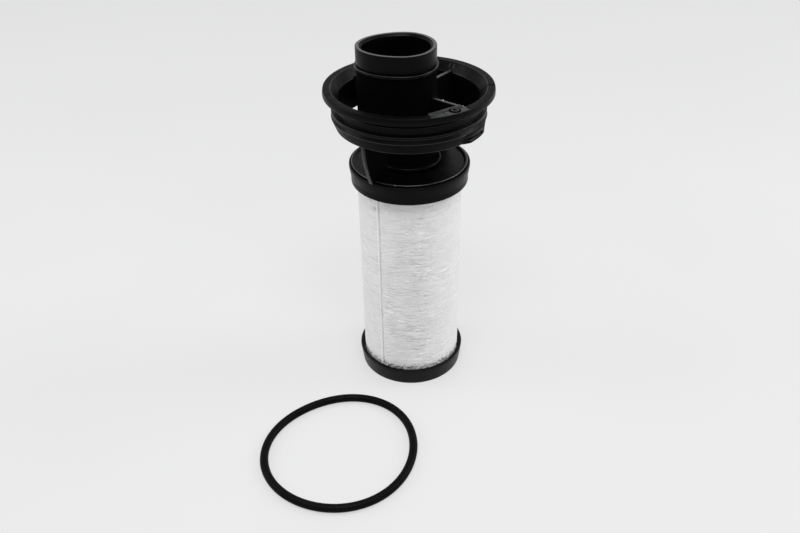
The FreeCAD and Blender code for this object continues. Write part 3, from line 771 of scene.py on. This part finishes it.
def felt_seam():
    """A narrow welded welt with small rungs pressed across it, in a paler felt that paints a
    highlight along it.
    """
    levels, across = 620, 9
    low, high = FOOT_TOP - 1, SKIRT_BOTTOM + 1
    verts = []
    for z in np.linspace(low, high, levels):
        rung = 0.5 + 0.5 * math.cos(2 * math.pi * z / 1.7)
        drift = 0.25 * noise.noise(Vector((0, 0, z * 0.05)))
        for step in range(across):
            side = step / (across - 1) * 2 - 1
            x, y = FELT_RADIUS * math.cos(SEAM_ANGLE), FELT_RADIUS * math.sin(SEAM_ANGLE)
            crown = max(0.0, 1 - side * side)
            lift = -0.45 + (0.62 + 0.1 * rung) * crown ** 0.6
            reach = FELT_RADIUS + lift + 0.05 * noise.noise(Vector((x, y, z * 0.9 + side)))
            angle = SEAM_ANGLE + (side * 0.75 + drift) / FELT_RADIUS
            verts.append((reach * math.cos(angle), reach * math.sin(angle), z))
    new_object("felt_seam_welt", verts, grid_faces(levels, across, False, False), FELT_WELT_LIT,
               "element", "sleeve_seam")


# ---- loose head seal ----

def head_seal():
    """A rubber ring that lies a little out of round, with a fine mould flash line."""
    centre = (SEAL_LOW + SEAL_HIGH) / 2
    cord = (SEAL_HIGH.z - SEAL_LOW.z) / 2
    mean = (SEAL_HIGH.x - SEAL_LOW.x) / 2 - cord
    around, section = 360, 40
    verts = []
    for step in range(around):
        angle = 2 * math.pi * step / around
        out = mean - 0.3 + 1.4 * math.cos(2 * angle - 1.43) - 0.8 * math.cos(3 * angle)
        for turn in range(section):
            tilt = 2 * math.pi * turn / section
            flash = 0.06 * math.exp(-(math.sin(tilt) / 0.08) ** 2)
            radius = cord * 0.985 + flash
            reach = out + radius * math.cos(tilt)
            verts.append((centre.x + 0.8 + reach * math.cos(angle),
                          centre.y + reach * math.sin(angle),
                          centre.z + radius * math.sin(tilt)))
    new_object("head_seal_ring", verts, grid_faces(around, section, True), RUBBER, "seal",
               "head_seal")


# ---- carried-over nodes ----

def dress(node, material):
    """Show a node of the frame in one material."""
    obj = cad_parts[node]
    obj.data.materials.clear()
    obj.data.materials.append(material)


def dress_nodes():
    resin, sheet_steel = potting(), steel()
    for node in ("lower_potting", "upper_potting"):
        dress(node, resin)
    for node in ("inner_support_tube", "outer_support_tube"):
        dress(node, sheet_steel)
    for node in ("inner_scrim", "outer_scrim"):
        dress(node, scrim(node + "_web", (0.78, 0.78, 0.76)))
    dress("pleated_media", scrim("glass_fibre_medium", (0.84, 0.83, 0.78)))


# ---- surroundings ----

def floor():
    """A wide pale sheet that the element and its ring stand on."""
    n = Nodes("pale_paper_sweep")
    cloud = n.noise(3.0, detail=3.0)
    base = n.ramp(cloud, [(0.3, (0.23, 0.23, 0.23)), (0.7, (0.25, 0.25, 0.25))])
    n.shader.inputs["Emission Color"].default_value = (1.0, 1.0, 1.0, 1.0)
    n.shader.inputs["Emission Strength"].default_value = 0.54
    material = n.finish(base, n.remap(cloud, 0.55, 0.65), n.bump(n.noise(900.0), 0.00002, 0.3))
    n.shader.inputs["Specular IOR Level"].default_value = 0.25
    half = 4000.0
    verts = [(-half, -half, 0), (half, -half, 0), (half, half, 0), (-half, half, 0)]
    mesh = bpy.data.meshes.new("paper_sweep")
    mesh.from_pydata([[c * MM for c in v] for v in verts], [], [(0, 1, 2, 3)])
    obj = bpy.data.objects.new("paper_sweep", mesh)
    mesh.materials.append(material)
    bpy.context.scene.collection.objects.link(obj)


def softbox(name, place, aim, width, height, watts):
    light = bpy.data.lights.new(name, "AREA")
    light.shape = "RECTANGLE"
    light.size, light.size_y = width, height
    light.energy = watts
    obj = bpy.data.objects.new(name, light)
    obj.location = place
    obj.rotation_euler = (Vector(aim) - Vector(place)).to_track_quat("-Z", "Y").to_euler()
    bpy.context.scene.collection.objects.link(obj)


def sky():
    """A light tent: brighter behind and overhead than in front."""
    world = bpy.data.worlds.new("light_tent")
    world.use_nodes = True
    nodes, links = world.node_tree.nodes, world.node_tree.links
    lean = nodes.new("ShaderNodeVectorMath")
    lean.operation = "DOT_PRODUCT"
    lean.inputs[1].default_value = (0.05, 0.25, 0.10)
    level = nodes.new("ShaderNodeMath")
    level.inputs[1].default_value = 0.48
    links.new(nodes.new("ShaderNodeTexCoord").outputs["Generated"], lean.inputs[0])
    links.new(lean.outputs["Value"], level.inputs[0])
    links.new(level.outputs["Value"], nodes["Background"].inputs["Strength"])
    nodes["Background"].inputs["Color"].default_value = (0.985, 0.995, 1.0, 1.0)
    bpy.context.scene.world = world


def lights():
    softbox("left_softbox", (-1.1, 0.1, 0.75), (0, 0, 0.1), 0.5, 0.6, 3.4)
    softbox("right_softbox", (1.1, 0.15, 0.8), (0, 0, 0.1), 0.5, 0.6, 5.0)
    softbox("top_softbox", (0.0, -0.45, 1.2), (0, 0, 0.1), 0.7, 0.4, 7.0)


def camera():
    """The camera stands in front of the element and looks down on it."""
    data = bpy.data.cameras.new("camera")
    data.sensor_width = 36.0
    data.lens = 36.68
    obj = bpy.data.objects.new("camera", data)
    yaw, pitch, roll = -0.0155, 0.5941, 0.0185
    turn = (Matrix.Rotation(-yaw, 4, "Z") @ Matrix.Rotation(math.pi / 2 - pitch, 4, "X")
            @ Matrix.Rotation(-roll, 4, "Z"))
    obj.matrix_world = Matrix.Translation((0.0, -0.46506, 0.38994)) @ turn
    bpy.context.scene.collection.objects.link(obj)
    bpy.context.scene.camera = obj


lower_cap()
upper_cap()
weld_ring()
collar()
locking_lug()
shelf()
moulding_marks()
duct()
duct_weld_line()
ribs()
struts()
felt_sleeve()
felt_seam()
head_seal()
dress_nodes()
floor()
sky()
lights()
camera()
bpy.context.scene.view_settings.view_transform = "Standard"
